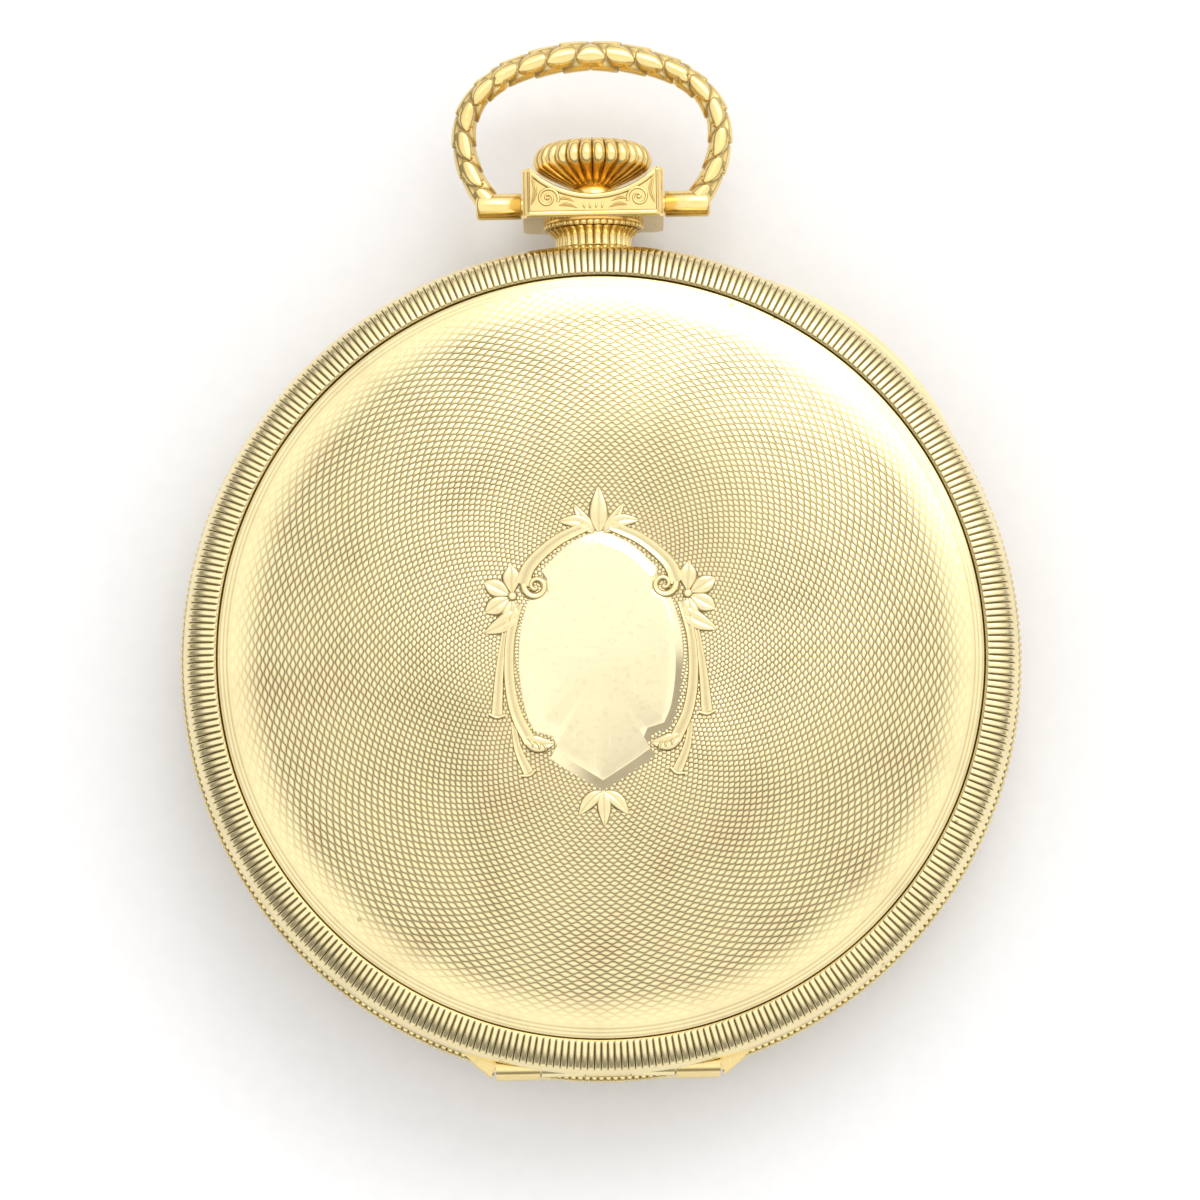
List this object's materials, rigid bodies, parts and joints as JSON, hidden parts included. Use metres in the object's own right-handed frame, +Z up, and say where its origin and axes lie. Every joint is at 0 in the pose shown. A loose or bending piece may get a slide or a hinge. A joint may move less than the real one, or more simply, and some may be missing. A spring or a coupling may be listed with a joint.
{
  "type": "hunter pocket watch",
  "caption": "Slim keyless hunter pocket watch: hinged front and back lids over a dial and a going movement, with pendant, crown and bow.",
  "frame": {"origin": "middle of the flat on the back lid, on which the watch rests", "axes": "+Z up to the front lid, +Y from the lid hinges to the crown and bow, +X towards six o'clock on the dial"},
  "size_m": [0.046, 0.0579, 0.011],
  "materials": {
    "lid_gold": "polished and engine-turned gold-filled skin",
    "case_gold": "polished gold-filled skin",
    "rich_gold": "polished yellow gold",
    "steel": "polished and grained steel",
    "blued_steel": "heat-blued steel",
    "nickel_plate": "damaskeened nickel",
    "train_brass": "gilt brass",
    "ruby": "synthetic ruby",
    "dial_silver": "satin silvered dial",
    "crystal": "clear mineral glass"
  },
  "bodies": {
    "case": {"case_band": "case_gold", "bezel": "case_gold", "crystal": "crystal", "front_hinge_pin": "case_gold", "back_hinge_pin": "case_gold", "lift_spring": "steel", "spring_screws": "steel", "pendant": "rich_gold", "pendant_sleeve": "steel", "case_screws": "blued_steel", "crown_wheel_screw": "steel", "click_spring": "steel", "main_plate": "nickel_plate", "barrel_bridge": "nickel_plate", "train_bridge": "nickel_plate", "balance_cock": "nickel_plate", "pallet_bridge": "nickel_plate", "jewels": "ruby", "jewel_settings": "rich_gold", "bridge_screws": "blued_steel", "dial": "dial_silver", "hairspring": "blued_steel", "hairspring_stud": "steel"},
    "front_lid": {"front_cover": "lid_gold"},
    "back_lid": {"back_cover": "lid_gold"},
    "inner_cover": {"dust_cover": "case_gold"},
    "bow": {"bow": "rich_gold"},
    "winding_sleeve": {"winding_pinion": "steel", "clutch_wheel": "steel"},
    "crown": {"crown": "rich_gold", "winding_stem": "steel"},
    "crown_wheel": {"crown_wheel": "steel"},
    "ratchet": {"ratchet_wheel": "steel", "ratchet_screw": "steel", "barrel_arbor": "steel"},
    "click": {"click": "steel"},
    "barrel": {"barrel_drum": "train_brass", "barrel_lid": "train_brass", "mainspring": "steel"},
    "minute_arbor": {"center_wheel": "train_brass", "cannon_pinion": "steel", "minute_hand": "blued_steel"},
    "third_wheel": {"third_wheel": "train_brass"},
    "seconds_arbor": {"fourth_wheel": "train_brass", "second_hand": "blued_steel"},
    "escape_wheel": {"escape_wheel": "steel"},
    "lever": {"pallet_fork": "steel", "pallet_stones": "ruby"},
    "balance": {"balance_wheel": "train_brass", "balance_screws": "rich_gold", "balance_staff": "steel", "roller_jewel": "ruby"},
    "minute_wheel": {"minute_wheel": "train_brass"},
    "hour_pipe": {"hour_wheel": "train_brass", "hour_hand": "blued_steel"},
    "regulator": {"regulator": "steel"},
    "lid_catch": {"lock_spring": "steel"}
  },
  "joints": [
    {"name": "front_lid_hinge", "type": "hinge", "parent": "case", "child": "front_lid", "pos_m": [0, -0.0224, 0.007], "axis": [1, 0, 0], "range_deg": [0, 90]},
    {"name": "back_lid_hinge", "type": "hinge", "parent": "case", "child": "back_lid", "pos_m": [0, -0.0224, 0.004], "axis": [-1, 0, 0], "range_deg": [0, 95]},
    {"name": "inner_cover_hinge", "type": "hinge", "parent": "case", "child": "inner_cover", "pos_m": [0, -0.0224, 0.004], "axis": [-1, 0, 0], "range_deg": [0, 83.6]},
    {"name": "bow_swivel", "type": "hinge", "parent": "case", "child": "bow", "pos_m": [0, 0.0256, 0.0055], "axis": [1, 0, 0], "range_deg": [-105, 105]},
    {"name": "crown_turn", "type": "hinge", "parent": "case", "child": "winding_sleeve", "pos_m": [0, 0.0175, 0.0055], "axis": [0, 1, 0], "continuous": true},
    {"name": "crown_slide", "type": "slide", "parent": "winding_sleeve", "child": "crown", "axis": [0, 1, 0], "range_m": [-0.0004, 0.0009]},
    {"name": "crown_wheel_turn", "type": "hinge", "parent": "case", "child": "crown_wheel", "pos_m": [0, 0.01455, 0.0039], "axis": [0, 0, 1], "continuous": true},
    {"name": "ratchet_turn", "type": "hinge", "parent": "case", "child": "ratchet", "pos_m": [-0.00523, 0.00747, 0.0039], "axis": [0, 0, 1], "continuous": true},
    {"name": "click_release", "type": "hinge", "parent": "case", "child": "click", "pos_m": [-0.01239, 0.00413, 0.0039], "axis": [0, 0, 1], "range_deg": [0, 10]},
    {"name": "minute_turn", "type": "hinge", "parent": "case", "child": "minute_arbor", "pos_m": [0, 0, 0.0055], "axis": [0, 0, -1], "continuous": true},
    {"name": "third_turn", "type": "hinge", "parent": "case", "child": "third_wheel", "pos_m": [0.00609, -0.00463, 0.0055], "axis": [0, 0, -1], "continuous": true},
    {"name": "seconds_turn", "type": "hinge", "parent": "case", "child": "seconds_arbor", "pos_m": [0.0099, 0, 0.0055], "axis": [0, 0, -1], "continuous": true},
    {"name": "escape_turn", "type": "hinge", "parent": "case", "child": "escape_wheel", "pos_m": [0.0128, -0.00414, 0.0055], "axis": [0, 0, -1], "continuous": true},
    {"name": "barrel_turn", "type": "hinge", "parent": "case", "child": "barrel", "pos_m": [-0.00523, 0.00747, 0.0055], "axis": [0, 0, -1], "continuous": true},
    {"name": "minute_wheel_turn", "type": "hinge", "parent": "case", "child": "minute_wheel", "pos_m": [0.00168, 0.00291, 0.0071], "axis": [0, 0, -1], "continuous": true},
    {"name": "hour_turn", "type": "hinge", "parent": "case", "child": "hour_pipe", "pos_m": [0, 0, 0.0073], "axis": [0, 0, -1], "continuous": true},
    {"name": "lever_rock", "type": "hinge", "parent": "case", "child": "lever", "pos_m": [0.01057, -0.00678, 0.0055], "axis": [0, 0, 1], "range_deg": [-5, 5]},
    {"name": "balance_swing", "type": "hinge", "parent": "case", "child": "balance", "pos_m": [0.00629, -0.01183, 0.0055], "axis": [0, 0, 1], "range_deg": [-220, 220]},
    {"name": "regulator_turn", "type": "hinge", "parent": "case", "child": "regulator", "pos_m": [0.00629, -0.01183, 0.0035], "axis": [0, 0, 1], "range_deg": [-18, 18]},
    {"name": "lid_catch_press", "type": "hinge", "parent": "case", "child": "lid_catch", "pos_m": [0.01202, 0.01716, 0.0055], "axis": [0, 0, 1], "range_deg": [0, 1.6]}
  ],
  "couplings": [
    {"joint": "inner_cover_hinge", "follows": "back_lid_hinge", "ratio": 0.88},
    {"joint": "crown_wheel_turn", "follows": "crown_turn", "ratio": 0.55172},
    {"joint": "ratchet_turn", "follows": "crown_turn", "ratio": -0.27119},
    {"joint": "third_turn", "follows": "minute_turn", "ratio": -8},
    {"joint": "seconds_turn", "follows": "minute_turn", "ratio": 60},
    {"joint": "escape_turn", "follows": "minute_turn", "ratio": -600},
    {"joint": "barrel_turn", "follows": "minute_turn", "ratio": -0.14286},
    {"joint": "minute_wheel_turn", "follows": "minute_turn", "ratio": -0.33333},
    {"joint": "hour_turn", "follows": "minute_turn", "ratio": 0.083333}
  ]
}
